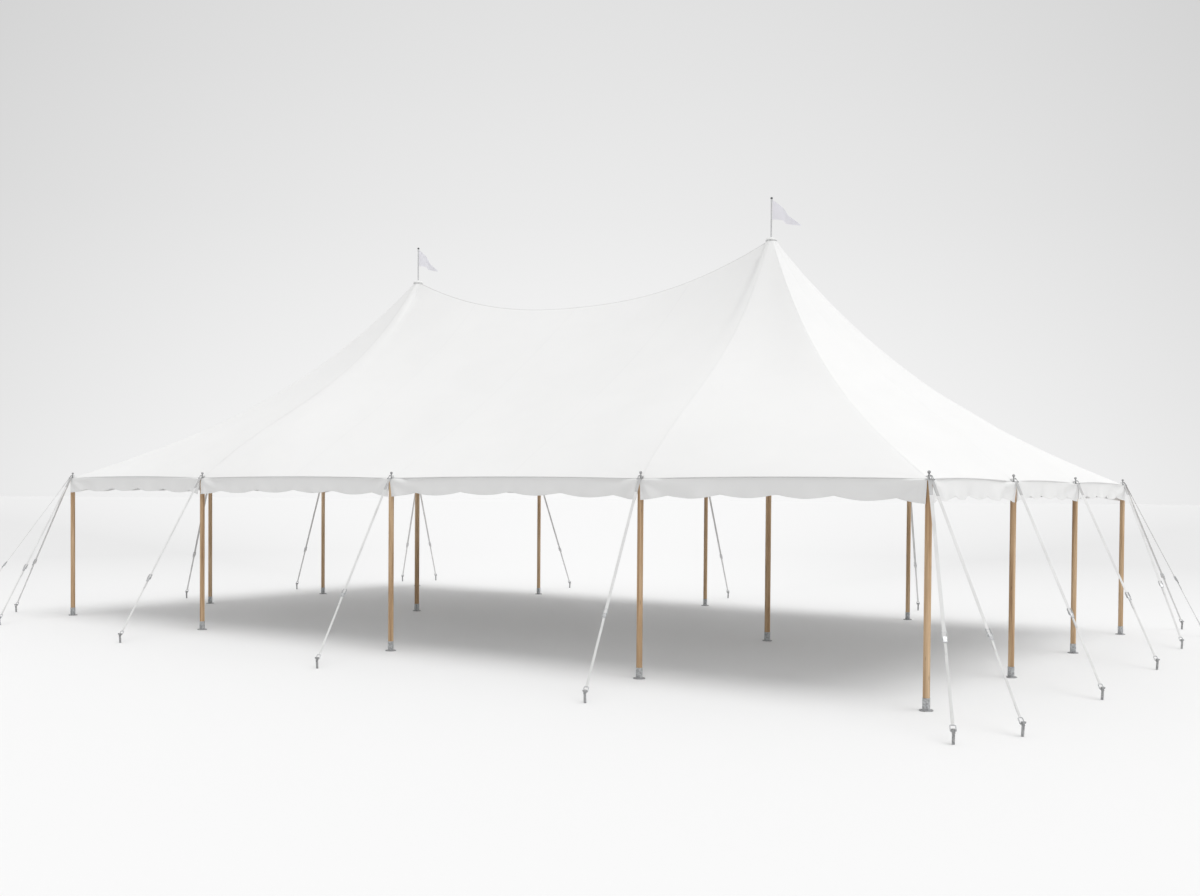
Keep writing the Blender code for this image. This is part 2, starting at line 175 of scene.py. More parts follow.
def weld(bm):
    bmesh.ops.remove_doubles(bm, verts=bm.verts, dist=1e-6)
    return bm


def turned(profile, sides=32):
    """Turn (radius, height) points about Z; a radius of 0 closes the profile."""
    bm = bmesh.new()
    rings = []
    for radius, height in profile:
        ring = circle(sides) if radius else [(0, 0)]
        rings.append([bm.verts.new((radius * x, radius * y, height)) for x, y in ring])
    for lower, upper in zip(rings, rings[1:]):
        bridge(bm, lower, upper)
    return bm


def block(size, bevel, matrix):
    """A block with rounded edges."""
    bm = bmesh.new()
    bmesh.ops.create_cube(bm, size=1.0)
    bmesh.ops.scale(bm, vec=size, verts=bm.verts)
    bmesh.ops.bevel(bm, geom=bm.edges[:], offset=bevel, segments=2, profile=0.6, affect="EDGES")
    return moved(bm, matrix)


def rod(points, radius, sides=10, closed=False):
    """A round bar along points, with flat ends unless it is closed."""
    bm = bmesh.new()
    rings = []
    count = len(points)
    side_way = None
    for number, point in enumerate(points):
        before = points[number - 1] if number or closed else point
        after = points[(number + 1) % count] if number < count - 1 or closed else point
        along = (after - before).normalized()
        if side_way is None:
            side_way = along.orthogonal().normalized()
        side_way = (side_way - along * side_way.dot(along)).normalized()
        other = along.cross(side_way)
        rings.append([bm.verts.new(point + (side_way * x + other * y) * radius) for x, y in circle(sides)])
    if not closed:
        return tube(bm, rings)
    for lower, upper in zip(rings, rings[1:] + rings[:1]):
        bridge(bm, lower, upper)
    return bm


def cross_bar(half, y, z, radius, sides):
    """A round bar along X."""
    return rod([Vector((-half, y, z)), Vector((half, y, z))], radius, sides=sides)


TAPE_SINK = 0.0003


def tape(points, normals, width, thickness, lift=0.0, camber=0.0, folds=None):
    """A thin band that follows a line on a surface; camber and folds lower its edges."""
    bm = bmesh.new()
    sections = []
    for number, (point, normal) in enumerate(zip(points, normals)):
        before = points[max(number - 1, 0)]
        after = points[min(number + 1, len(points) - 1)]
        across = (after - before).cross(normal).normalized() * width
        base = point + normal * lift
        fold = folds[number] if folds else 0.0
        edge, shoulder = -camber - fold, thickness - 0.6 * camber - 0.8 * fold
        section = ((0.50, edge), (0.40, shoulder), (0, thickness),
                   (-0.40, shoulder), (-0.50, edge), (0, -TAPE_SINK))
        sections.append([bm.verts.new(base + across * share + normal * height) for share, height in section])
    return tube(bm, sections)


def closed_sheet(bm, thickness, inward):
    """Close a sheet with a second skin on its inward side."""
    bmesh.ops.remove_doubles(bm, verts=bm.verts, dist=1e-5)
    bm.normal_update()
    normals = {tuple(round(c, 6) for c in vert.co): vert.normal.copy() for vert in bm.verts}
    result = bmesh.ops.extrude_face_region(bm, geom=bm.faces[:], use_keep_orig=True)
    for vert in result["geom"]:
        if isinstance(vert, bmesh.types.BMVert):
            normal = normals[tuple(round(c, 6) for c in vert.co)]
            vert.co += normal * copysign(thickness, normal.dot(inward))


def surface_area(bm):
    return sum(face.calc_area() for face in bm.faces)


# Materials
def node_material(name, colour, roughness, metallic=0.0):
    mat = bpy.data.materials.new(name)
    mat.use_nodes = True
    shader = mat.node_tree.nodes["Principled BSDF"]
    shader.inputs["Base Color"].default_value = (*colour, 1.0)
    shader.inputs["Roughness"].default_value = roughness
    shader.inputs["Metallic"].default_value = metallic
    return mat, mat.node_tree, shader


def feed(tree, socket, value):
    """Give a node's input another node's output, or a value."""
    if isinstance(value, bpy.types.NodeSocket):
        tree.links.new(value, socket)
    else:
        socket.default_value = value


def maths(tree, operation, *values):
    """A sum on numbers or other nodes' values."""
    node = tree.nodes.new("ShaderNodeMath")
    node.operation = operation
    for socket, value in zip(node.inputs, values):
        feed(tree, socket, value)
    return node.outputs["Value"]


def vector_maths(tree, operation, *values):
    """A vector's length, its direction, or how far it reaches one way."""
    node = tree.nodes.new("ShaderNodeVectorMath")
    node.operation = operation
    for socket, value in zip(node.inputs, values):
        feed(tree, socket, value)
    return node.outputs["Vector" if operation == "NORMALIZE" else "Value"]


def mixed(tree, blend, share, first, second):
    """Two colours mixed by a share."""
    node = tree.nodes.new("ShaderNodeMix")
    node.data_type = "RGBA"
    node.blend_type = blend
    for number, value in ((0, share), (6, first), (7, second)):
        feed(tree, node.inputs[number], value)
    return node.outputs[2]


def coordinates(tree, output="Object"):
    return tree.nodes.new("ShaderNodeTexCoord").outputs[output]


def texture(tree, kind, scale, stretch=(1, 1, 1), **inputs):
    """A procedural texture in the tent's own metres."""
    mapping = tree.nodes.new("ShaderNodeMapping")
    mapping.inputs["Scale"].default_value = stretch
    tree.links.new(coordinates(tree), mapping.inputs["Vector"])
    tex = tree.nodes.new(kind)
    tree.links.new(mapping.outputs["Vector"], tex.inputs["Vector"])
    tex.inputs["Scale"].default_value = scale
    for key, value in inputs.items():
        tex.inputs[key].default_value = value
    return tex.outputs["Fac"] if "Fac" in tex.outputs else tex.outputs["Distance"]


def ramp(tree, value, stops):
    """Colours or greys along a value."""
    node = tree.nodes.new("ShaderNodeValToRGB")
    elements = node.color_ramp.elements
    while len(elements) < len(stops):
        elements.new(0.5)
    for element, (position, colour) in zip(elements, stops):
        element.position = position
        element.color = (*colour, 1.0) if isinstance(colour, tuple) else (colour, colour, colour, 1.0)
    tree.links.new(value, node.inputs["Fac"])
    return node.outputs["Color"]


def noise(tree, scale, **inputs):
    return texture(tree, "ShaderNodeTexNoise", scale, **inputs)


def shade(tree, shader, name, value, *stops):
    """A colour or roughness that follows a texture."""
    tree.links.new(ramp(tree, value, stops), shader.inputs[name])


def bump(tree, shader, heights):
    """Stack height textures, each with its own depth in metres."""
    normal = None
    for value, depth in heights:
        node = tree.nodes.new("ShaderNodeBump")
        node.inputs["Strength"].default_value = 1.0
        node.inputs["Distance"].default_value = depth
        tree.links.new(value, node.inputs["Height"])
        if normal is not None:
            tree.links.new(normal, node.inputs["Normal"])
        normal = node.outputs["Normal"]
    tree.links.new(normal, shader.inputs["Normal"])


# A wave texture of scale 1 has a band in each 0.314 m
BAND_PITCH = 0.314
WEBBING_RIB = 0.0022
WEBBING_THREAD = 0.0012


def weave(tree, pitch):
    """Plain weave: two crossed sets of threads, as a height from 0 to 1."""
    threads = []
    for axis in ("X", "Y", "Z"):
        wave = tree.nodes.new("ShaderNodeTexWave")
        wave.bands_direction = axis
        wave.inputs["Scale"].default_value = BAND_PITCH / pitch
        wave.inputs["Distortion"].default_value = 0.4
        wave.inputs["Detail"].default_value = 1.0
        tree.links.new(coordinates(tree), wave.inputs["Vector"])
        threads.append(wave.outputs["Fac"])
    return maths(tree, "MAXIMUM", maths(tree, "MAXIMUM", threads[0], threads[1]), threads[2])


def cloth_material(name, light, dark, pitch, roughness, sheen=0.0, depth=0.00025):
    """Coated or woven cloth: faint clouding, a fine weave and soft handling creases."""
    mat, tree, shader = node_material(name, light, roughness)
    clouds = noise(tree, 0.9, Detail=5.0, Roughness=0.55)
    shade(tree, shader, "Base Color", clouds, (0.30, dark), (0.62, light))
    gloss = noise(tree, 2.6, Detail=4.0)
    shade(tree, shader, "Roughness", gloss, (0.3, roughness - 0.06), (0.7, roughness + 0.08))
    creases = noise(tree, 2.2, stretch=(1, 1, 0.6), Detail=3.0, Distortion=0.6)
    bump(tree, shader, [(weave(tree, pitch), depth), (creases, 0.0025)])
    shader.inputs["Sheen Weight"].default_value = sheen
    return mat


def wood_material(name):
    """Round wooden pole: long grain, darker streaks, small knots and a worn oil finish."""
    mat, tree, shader = node_material(name, (0.54, 0.36, 0.21), 0.55)
    streaks = noise(tree, 22.0, stretch=(1, 1, 0.03), Detail=6.0, Roughness=0.6)
    colour = ramp(tree, streaks, [(0.28, (0.33, 0.19, 0.095)), (0.45, (0.52, 0.335, 0.185)),
                                  (0.64, (0.74, 0.53, 0.33))])
    grain = noise(tree, 120.0, stretch=(1, 1, 0.02), Detail=4.0)
    fine = ramp(tree, grain, [(0.35, 0.72), (0.60, 1.0)])
    knots = texture(tree, "ShaderNodeTexVoronoi", 2.6, stretch=(5, 5, 1), Randomness=1.0)
    dark = ramp(tree, knots, [(0.03, 0.45), (0.10, 1.0)])
    colour = mixed(tree, "MULTIPLY", 0.7, mixed(tree, "MULTIPLY", 0.6, colour, fine), dark)
    tree.links.new(colour, shader.inputs["Base Color"])
    shade(tree, shader, "Roughness", streaks, (0.3, 0.66), (0.7, 0.46))
    bump(tree, shader, [(grain, 0.0006), (streaks, 0.0012)])
    return mat


def metal_material(name, light, dark, roughness, spangle=45.0, metallic=0.85, patch=9.0):
    """Galvanized or plated steel: crystal spangle, dull patches and fine scratches."""
    mat, tree, shader = node_material(name, light, roughness, metallic)
    crystals = texture(tree, "ShaderNodeTexVoronoi", spangle, Randomness=1.0)
    patches = noise(tree, patch, Detail=6.0, Roughness=0.65)
    dull = ramp(tree, patches, [(0.35, dark), (0.65, light)])
    bright = ramp(tree, crystals, [(0.1, dark), (0.7, light)])
    tree.links.new(mixed(tree, "MIX", 0.45, dull, bright), shader.inputs["Base Color"])
    shade(tree, shader, "Roughness", patches, (0.3, roughness + 0.15), (0.7, roughness - 0.08))
    scratches = noise(tree, 90.0, stretch=(1, 1, 0.15), Detail=3.0)
    bump(tree, shader, [(scratches, 0.0002)])
    return mat


def webbing_material(name, light, dark):
    """Polyester webbing: close ribs across the band, a fine weave and slight soiling."""
    mat, tree, shader = node_material(name, light, 0.7)
    soil = noise(tree, 4.0, stretch=(1, 1, 0.4), Detail=5.0)
    shade(tree, shader, "Base Color", soil, (0.32, dark), (0.60, light))
    ribs = tree.nodes.new("ShaderNodeTexWave")
    ribs.bands_direction = "Z"
    ribs.inputs["Scale"].default_value = BAND_PITCH / WEBBING_RIB
    tree.links.new(coordinates(tree), ribs.inputs["Vector"])
    shade(tree, shader, "Roughness", soil, (0.3, 0.8), (0.7, 0.6))
    bump(tree, shader, [(ribs.outputs["Fac"], 0.0005), (weave(tree, WEBBING_THREAD), 0.0002)])
    return mat


def paint_material(name):
    """White paint on metal, a little uneven."""
    mat, tree, shader = node_material(name, (0.84, 0.84, 0.83), 0.35)
    wear = noise(tree, 22.0, Detail=6.0)
    shade(tree, shader, "Base Color", wear, (0.30, (0.82, 0.82, 0.81)), (0.5, (0.93, 0.93, 0.92)))
    bump(tree, shader, [(wear, 0.0004)])
    return mat


def pale(level):
    """A near white that is a touch warm."""
    return (level, level, level - 0.005)


CANVAS = cloth_material("coated_canvas", pale(0.86), pale(0.845), 0.0016, 0.52)
SEAM = cloth_material("seam_tape", pale(0.84), pale(0.81), 0.0012, 0.45)
# Hem tape in a darker grey than the canvas: its darkness is painted shade under the eave's rolled edge. The
# ridge tape and rope use it too.
HEM_PAINTED_SHADE = cloth_material("hem_tape_painted_shade", pale(0.68), pale(0.62), 0.0012, 0.50)
PENNANT = cloth_material("pennant_cloth", (0.93, 0.92, 0.97), (0.90, 0.89, 0.94), 0.0009, 0.8,
                         sheen=0.2, depth=0.00004)
WOOD = wood_material("oiled_pole_wood")
STEEL = metal_material("galvanized_steel", (0.66, 0.67, 0.68), (0.24, 0.245, 0.25), 0.45,
                       metallic=0.6, patch=38.0)
FORGED = metal_material("forged_steel", (0.50, 0.505, 0.51), (0.22, 0.222, 0.225), 0.48,
                        metallic=0.5, patch=45.0)
DARK_STEEL = metal_material("dark_steel", (0.16, 0.165, 0.17), (0.08, 0.082, 0.085), 0.38, spangle=80.0)
ZINC = metal_material("bright_zinc", (0.68, 0.69, 0.70), (0.38, 0.385, 0.39), 0.36,
                      spangle=70.0, metallic=0.6, patch=60.0)
ALUMINIUM = metal_material("dull_aluminium", (0.74, 0.745, 0.75), (0.56, 0.565, 0.57), 0.42,
                           metallic=0.3, patch=30.0)
PAINT = paint_material("white_painted_metal")
WEBBING = webbing_material("white_webbing", pale(0.78), pale(0.68))
TAB = webbing_material("grey_webbing", (0.56, 0.56, 0.56), (0.44, 0.44, 0.44))


# Canopy surface
def bow(position, bays):
    """How far the eave has bowed, 0 at a post and 1 in mid bay."""
    position = min(max(position, bays[0]), bays[-1])
    for start, end in zip(bays, bays[1:]):
        if position <= end:
            share = (position - start) / (end - start)
            return 4 * share * (1 - share)
    return 0.0


def side_eave(x, sign, inset):
    """A point on a long side's eave; sign is -1 at the front and 1 at the back."""
    amount = bow(x, SIDE_BAYS)
    return Vector((x, sign * (HALF_WIDTH - inset - EAVE_INSET * amount), EAVE_Z + EAVE_RISE * amount))


def end_eave(y, sign, inset):
    """A point on a short side's eave; sign is 1 at the right and -1 at the left."""
    amount = bow(y, END_BAYS)
    return Vector((sign * (HALF_LENGTH - inset - EAVE_INSET * amount), y, EAVE_Z + EAVE_RISE * amount))


POSTS = [(x, sign * HALF_WIDTH) for sign in (-1, 1) for x in SIDE_POSTS]
POSTS += [(sign * HALF_LENGTH, y) for sign in (-1, 1) for y in END_POSTS[1:-1]]
PULL_REACH = 1.25
PULL_DEPTH = 0.0055
PULL_FOLDS = 17.0


def pull_folds(point):
    """Small folds that fan out from each post where the canopy is pulled down."""
    total = 0.0
    for number, (x, y) in enumerate(POSTS):
        away = hypot(point.x - x, point.y - y)
        if away < PULL_REACH:
            angle = atan2(point.y - y, point.x - x)
            fade = smooth(away, 0.03, 0.30) * (1 - away / PULL_REACH) ** 2
            total += PULL_DEPTH * fade * cos(PULL_FOLDS * angle + number)
    return total


def hollow(t, peakness, hip):
    post_curve = POST_CURVE - POST_CURVE_FADE * t
    hip_curve = HIP_CURVE - HIP_CURVE_FADE * t
    end_curve = post_curve + (hip_curve - post_curve) * hip
    return MIDDLE_CURVE + (end_curve - MIDDLE_CURVE) * peakness ** 2


DIP_POWER = 0.8


def canopy_point(top, eave, t, peakness, hip, dip):
    """A point of the canopy between its top and the eave, dipped between seams."""
    drop = t + hollow(t, peakness, hip) * t * (1 - t)
    point = top.lerp(eave, t)
    point.z = top.z + (eave.z - top.z) * drop - dip * sin(pi * t) ** DIP_POWER
    point.z += pull_folds(point)
    return point


RIDGE_END = PEAK_X - PEAK_HOLE_RADIUS
CELL = INNER_X / 5
RIDGE_EAVE = INNER_X - CELL
MIDDLE_SEAMS = (-INNER_X / 2, 0.0, INNER_X / 2)
MIDDLE_DIP = 0.009
MIDDLE_DIP_REACHED = 0.6
END_DIP = 0.024


def middle_point(x, t, sign):
    """The middle section, by the place on the eave and the share of the way down to it."""
    from_end = (abs(x) - RIDGE_EAVE) / CELL
    if from_end > 0:
        angle = pi / 2 * from_end
        top = Vector((copysign(PEAK_X - PEAK_HOLE_RADIUS * cos(angle), x),
                      sign * PEAK_HOLE_RADIUS * sin(angle), PEAK_Z))
        peakness = 1.0
    else:
        ridge_x = x * RIDGE_END / RIDGE_EAVE
        share = abs(ridge_x) / RIDGE_END
        top = Vector((ridge_x, 0, PEAK_Z - RIDGE_SAG * (1 - share ** RIDGE_SAG_POWER)))
        peakness = share
    dip = MIDDLE_DIP * sin(pi * x / (INNER_X / 2)) ** 2 * smooth(t, 0.0, MIDDLE_DIP_REACHED)
    return canopy_point(top, side_eave(x, sign, CANOPY_INSET), t, peakness, 0.0, dip)


# An end section's eave runs from the front inner post round the end to the back one
END_RUN = (END_BAY, CORNER_Y, 2 * END_Y, CORNER_Y, END_BAY)


def end_run_point(run, side):
    """The eave point and the share between seams at a distance round the end section."""
    start = 0.0
    for leg, length in enumerate(END_RUN):
        if run <= start + length + 1e-9:
            break
        start += length
    share = min(max((run - start) / length, 0.0), 1.0)
    if leg in (0, 4):
        x = INNER_X + END_BAY * (share if leg == 0 else 1 - share)
        x = min(x, HALF_LENGTH - CANOPY_INSET)
        eave = side_eave(x, -1 if leg == 0 else 1, CANOPY_INSET)
        hip = (x - INNER_X) / END_BAY
    else:
        y = (-HALF_WIDTH, -END_Y, END_Y)[leg - 1] + length * share
        y = min(max(y, END_BAYS[0]), END_BAYS[-1])
        eave = end_eave(y, 1, CANOPY_INSET)
        hip = max((abs(y) - END_Y) / CORNER_Y, 0.0)
    return Vector((side * eave.x, eave.y, eave.z)), hip, share


def end_point(run, t, side):
    eave, hip, share = end_run_point(run, side)
    angle = atan2(eave.y, abs(eave.x) - PEAK_X)
    first = atan2(HALF_WIDTH - CANOPY_INSET, INNER_X - PEAK_X)
    angle *= pi / 2 / first
    top = Vector((side * (PEAK_X + CLEARANCE + PEAK_HOLE_RADIUS * cos(angle)),
                  PEAK_HOLE_RADIUS * sin(angle), PEAK_Z))
    dip = END_DIP * sin(pi * share) ** 2
    return canopy_point(top, eave, t, 1.0, hip, dip)


CANOPY_ROWS = 56
CANOPY_STEP = 0.11
FIRST_TURN = 0.12
SHEET_THICKNESS = 0.0012


def steps_between(stops, step):
    """Stations through every stop, about a step apart."""
    stations = [stops[0]]
    for start, end in zip(stops, stops[1:]):
        count = max(1, round((end - start) / step))
        stations += [start + (end - start) * number / count for number in range(1, count + 1)]
    return stations


def down_shares():
    """Shares of the way down, closer together near the peak and the eave."""
    turns = [FIRST_TURN + (1 - FIRST_TURN) * row / CANOPY_ROWS for row in range(CANOPY_ROWS + 1)]
    shares = [0.5 - 0.5 * cos(pi * turn) for turn in turns]
    return [(share - shares[0]) / (1 - shares[0]) for share in shares]


SHARES = down_shares()


def upward(down, over):
    """The upward normal of a surface, from two ways along it."""
    normal = down.cross(over).normalized()
    return normal if normal.z > 0 else -normal


def seam_line(surface, along, t_values, step=0.01, side_step=0.06):
    """Points down a line of the canopy, their outward normals, and how steeply both sides fall away."""
    points = [surface(along, t) for t in t_values]
    normals, falls = [], []
    for t in t_values:
        near = min(max(t, step), 1 - step)
        down = surface(along, near + step) - surface(along, near - step)
        left, right = surface(along - side_step, near), surface(along + side_step, near)
        normal = upward(down, right - left)
        height = (surface(along, near) - (left + right) / 2).dot(normal)
        normals.append(normal)
        falls.append(max(2 * height / (right - left).length, 0.0))
    return points, normals, falls


SEAM_WIDTH = 0.024
JOINT_WIDTH = 0.045
SEAM_THICKNESS = 0.0006
SEAM_CAMBER = 0.0010
SEAM_END = 0.995


def seam(bm, surface, along, width=SEAM_WIDTH):
    """A seam tape down the canopy, folded where the cloth turns under it."""
    t_values = [SEAM_END * row / CANOPY_ROWS for row in range(CANOPY_ROWS + 1)]
    points, normals, falls = seam_line(surface, along, t_values)
    folds = [fall * width / 2 for fall in falls]
    add(bm, tape(points, normals, width, SEAM_THICKNESS, camber=SEAM_CAMBER, folds=folds))


RIDGE_TAPE_AT = 0.0015
RIDGE_TAPE_WIDTH = 0.014
RIDGE_ROPE_DROP = 0.017
RIDGE_ROPE_RADIUS = 0.006
RIDGE_STEP = 0.08
NEAR = 0.01


def cloth_piece(bm, name, inward):
    """A closed thin skin from a cloth's surface, with the area of the surface."""
    area = surface_area(bm)
    closed_sheet(bm, SHEET_THICKNESS, inward)
    return piece(bm, f"{name}_cloth", CANVAS, sharp=50, replaced=(name,)), area


def build_middle():
    """The middle section with its seams and the taped, roped ridge."""
    bm = bmesh.new()
    stations = steps_between((-INNER_X, -RIDGE_EAVE, *MIDDLE_SEAMS, RIDGE_EAVE, INNER_X), CANOPY_STEP)
    for sign in (-1, 1):
        grid(bm, [[middle_point(x, t, sign) for t in SHARES] for x in stations])
    sheet, area = cloth_piece(bm, "canopy_middle", -UP)
    seams = bmesh.new()
    for sign in (-1, 1):
        for x in MIDDLE_SEAMS:
            seam(seams, lambda along, t, s=sign: middle_point(along, t, s), x)
    seams = piece(seams, "canopy_middle_seams", SEAM)
    ridge = bmesh.new()
    stations = steps_between((-RIDGE_EAVE, RIDGE_EAVE), RIDGE_STEP)
    for sign in (-1, 1):
        points, normals = [], []
        for x in stations:
            points.append(middle_point(x, RIDGE_TAPE_AT, sign))
            down = middle_point(x, 2 * RIDGE_TAPE_AT, sign) - middle_point(x, 0.0, sign)
            over = middle_point(x + NEAR, RIDGE_TAPE_AT, sign) - middle_point(x - NEAR, RIDGE_TAPE_AT, sign)
            normals.append(upward(down, over))
        add(ridge, tape(points, normals, RIDGE_TAPE_WIDTH, SEAM_THICKNESS))
    rope = [middle_point(x, 0.0, 1) - UP * RIDGE_ROPE_DROP for x in stations]
    add(ridge, rod(rope, RIDGE_ROPE_RADIUS, sides=12))
    ridge = piece(ridge, "canopy_ridge_tape", HEM_PAINTED_SHADE)


def build_end(side, label):
    """An end section with its seams and the wider joints to the middle section."""
    bm = bmesh.new()
    stops = [sum(END_RUN[:leg]) for leg in range(len(END_RUN) + 1)]
    stations = steps_between(stops, CANOPY_STEP)
    grid(bm, [[end_point(run, t, side) for t in SHARES] for run in stations])
    name = f"canopy_end_{label}"
    sheet, area = cloth_piece(bm, name, -UP)
    seams = bmesh.new()
    for number, run in enumerate(stops):
        width = SEAM_WIDTH if 0 < number < len(END_RUN) else JOINT_WIDTH
        seam(seams, lambda along, t: end_point(along, t, side), run, width)
    seams = piece(seams, f"{name}_seams", SEAM)


# Valances
HEM_ROLL_RADIUS = 0.0065
HEM_ROLL_OUT = 0.0045
HEM_ROLL_DROP = 0.0055
HEM_STEP = 0.05
CLOTH_DROP = 0.004
BINDING_WIDTH = 0.010
BINDING_THICKNESS = 0.001
BINDING_RAISE = 0.005
EDGE_FADE = 0.22
VALANCE_SHARES = (0, 0.02, 0.045, 0.08, 0.14, 0.22, 0.31, 0.40, 0.50, 0.60, 0.70, 0.80, 0.90, 1.0)
VALANCE_STEP = 0.035
SLIT_CUT = (0.011, 0.030)
CORNER_CUT = (-0.010, -0.003)
MID_BAY_RISE = 0.016
FLAP_REACH = 0.34
FLAP_GAP = 0.0035
FAN_DEPTH = 0.012


def valance_depth(start, end, position):
    """Hanging depth at a place in a bay: scallops that are deepest at the posts."""
    share = (position - start) / (end - start)
    wave = abs(cos(pi * SCALLOPS * share))
    rise = MID_BAY_RISE * sin(pi * min(max(share, 0), 1))
    return VALANCE_DEPTH + SCALLOP_DEPTH * wave - rise


def valance_swing(posts, position, share, seed):
    """How far the cloth stands out from the plane of the hem; it hangs over each pole's head."""
    swing = 0.010 * sin(4.1 * position + seed) + 0.009 * sin(9.3 * position + 2 * seed)
    swing = swing * share ** 1.5 + 0.010 * sin(17.0 * position + 3 * seed) * share ** 3
    drop = share * VALANCE_DEPTH
    for post, away in zip(posts, (1, -1)):
        across = (position - post) * away
        angle = atan2(drop, across)
        reach = hypot(drop, across)
        fan = FAN_DEPTH * cos(9 * angle + seed) * smooth(reach, 0.03, 0.20)
        fan *= 1 - smooth(reach, 0.3, 1.1)
        over = (1 - smooth(across, SIDE_RADIUS, FLAP_REACH)) * smooth(drop, 0.0, 0.011)
        swing += fan + (SIDE_RADIUS + HEM_INSET + 2 * FLAP_GAP) * over
        if across < SIDE_RADIUS and drop > 0.009:
            pole_face = HEM_INSET + sqrt(SIDE_RADIUS ** 2 - max(across, 0.0) ** 2)
            swing = max(swing, pole_face + FLAP_GAP)
    return swing


def valance_panel(bm, binding, bay, posts, cuts, eave_at, outward, seed):
    """One bay of a valance, from slit to slit, and the bound edge along its foot."""
    start, end = bay
    first, last = start + cuts[0][0], end - cuts[1][0]
    scallop = (end - start) / SCALLOPS
    stops = [first] + [start + scallop * (number + 0.5) for number in range(SCALLOPS)] + [last]
    columns = []
    for position in steps_between(stops, VALANCE_STEP):
        column = []
        for share in VALANCE_SHARES:
            place = position
            for edge, away, (top, bottom) in ((first, 1, cuts[0]), (last, -1, cuts[1])):
                near = 1 - smooth((position - edge) * away, 0.0, EDGE_FADE)
                place += away * (bottom - top) * near * share
            drop = CLOTH_DROP + (valance_depth(start, end, place) - CLOTH_DROP) * share
            column.append(eave_at(place) - UP * drop + outward * valance_swing(posts, place, share, seed))
        columns.append(column)
    grid(bm, columns)
    foot = [column[-1] + UP * BINDING_RAISE for column in columns]
    normals = [outward] * len(foot)
    add(binding, tape(foot, normals, BINDING_WIDTH, BINDING_THICKNESS, lift=BINDING_THICKNESS))


def hem_roll(bays, eave_at, outward, ends):
    """The roped hem: a round roll outside the cloth, which passes inside each pole's pin."""
    line = []
    for place in steps_between((ends[0], *bays[1:-1], ends[1]), HEM_STEP):
        from_post = min(abs(place - post) for post in bays)
        inwards = (HEM_ROLL_OUT + HEM_ROLL_RADIUS) * (1 - smooth(from_post, 0.015, 0.10))
        line.append(eave_at(place) - UP * HEM_ROLL_DROP + outward * (HEM_ROLL_OUT - inwards))
    return rod(line, HEM_ROLL_RADIUS, sides=12)


def build_valance(name, bays, posts, eave_at, outward, seed, ends):
    """All of one side's valance: cloth, bound edge and hem."""
    bm, binding = bmesh.new(), bmesh.new()
    cuts = [CORNER_CUT] + [SLIT_CUT] * (len(bays) - 2) + [CORNER_CUT]
    for number in range(len(bays) - 1):
        pair = slice(number, number + 2)
        valance_panel(bm, binding, bays[pair], posts[pair], cuts[pair], eave_at, outward, seed + 1.7 * number)
    sheet, area = cloth_piece(bm, name, -outward)
    binding = piece(binding, f"{name}_binding", SEAM)
    # The hem's darker grey is painted shade under the eave's edge.
    hem = piece(hem_roll(bays, eave_at, outward, ends), f"{name}_hem", HEM_PAINTED_SHADE)


# Poles, feet and caps
def label_places():
    """Every side pole's label and place."""
    places = []
    for row, sign in SIDES:
        places += [(f"{row}_{number}", x, sign * HALF_WIDTH) for number, x in enumerate(SIDE_POSTS, 1)]
    for row, sign in ENDS:
        places += [(f"{row}_{number}", sign * HALF_LENGTH, y) for number, y in enumerate(END_POSTS[1:-1], 1)]
    return places


def ball(radius, middle, first):
    """Profile points of a ball, from an angle below its middle to near its top."""
    angles = [radians(angle) for angle in range(first, 90, 15)]
    return [(radius * cos(angle), middle + radius * sin(angle)) for angle in angles]


POLE_STEPS = 24
POLE_WEAR = 0.0006
PIN_RADIUS = 0.008
PIN_BALL = 0.019


def pole_bmesh(radius, bottom, top):
    """A turned pole with eased ends and a slight, uneven taper."""
    profile = [(0, bottom), (radius - 0.003, bottom), (radius, bottom + 0.006)]
    for step in range(1, POLE_STEPS):
        height = bottom + (top - bottom) * step / POLE_STEPS
        profile.append((radius - POLE_WEAR * abs(sin(2.3 * height)), height))
    profile += [(radius, top - 0.006), (radius - 0.004, top), (0, top)]
    return turned(profile, sides=36)


def pin_bmesh():
    """Steel pin in the pole's head, with a ball on top."""
    foot, head = POLE_TOP + CLEARANCE, PIN_TOP - PIN_BALL
    return turned([(0, foot), (PIN_RADIUS, foot), (PIN_RADIUS, head - 0.0175),
                   *ball(PIN_BALL, head, -60), (0, PIN_TOP)], sides=20)


SLOT_ANGLE = -0.957
RIB_ANGLE = 0.30
SLEEVE_FOOT = 0.0103
SLEEVE_TOP = 0.140
SLEEVE_WALL = 0.0032
PLATE_RADIUS = 0.0775
PLATE_TOP = 0.010
SHAFT_FOOT = 0.0123


def sleeve_bmesh(pole_radius):
    """Steel sleeve with a rolled rim, a pressed rib on each side of its slot and a bolt across it."""
    bore = pole_radius + CLEARANCE
    outer = bore + SLEEVE_WALL
    rim = outer + 0.0006
    bm = weld(turned([(bore, SLEEVE_FOOT), (outer, SLEEVE_FOOT), (outer, SLEEVE_TOP - 0.008),
                      (rim, SLEEVE_TOP - 0.006), (rim, SLEEVE_TOP - 0.002), (outer, SLEEVE_TOP),
                      (bore, SLEEVE_TOP), (bore, SLEEVE_FOOT)], sides=40))
    for angle in (SLOT_ANGLE - RIB_ANGLE, SLOT_ANGLE + RIB_ANGLE):
        out = Vector((cos(angle), sin(angle), 0)) * outer
        add(bm, rod([out + UP * height for height in (0.020, 0.075, 0.128)], 0.0022, sides=8))
    out = Vector((cos(SLOT_ANGLE), sin(SLOT_ANGLE), 0))
    bolt = turned([(0, 0), (0.008, 0), (0.008, 0.005), (0.0065, 0.0070), (0, 0.0070)], sides=6)
    turn = out.to_track_quat("Z", "Y").to_matrix().to_4x4()
    turn.translation = out * (outer - 0.001) + UP * 0.036
    add(bm, bolt, turn)
    return bm


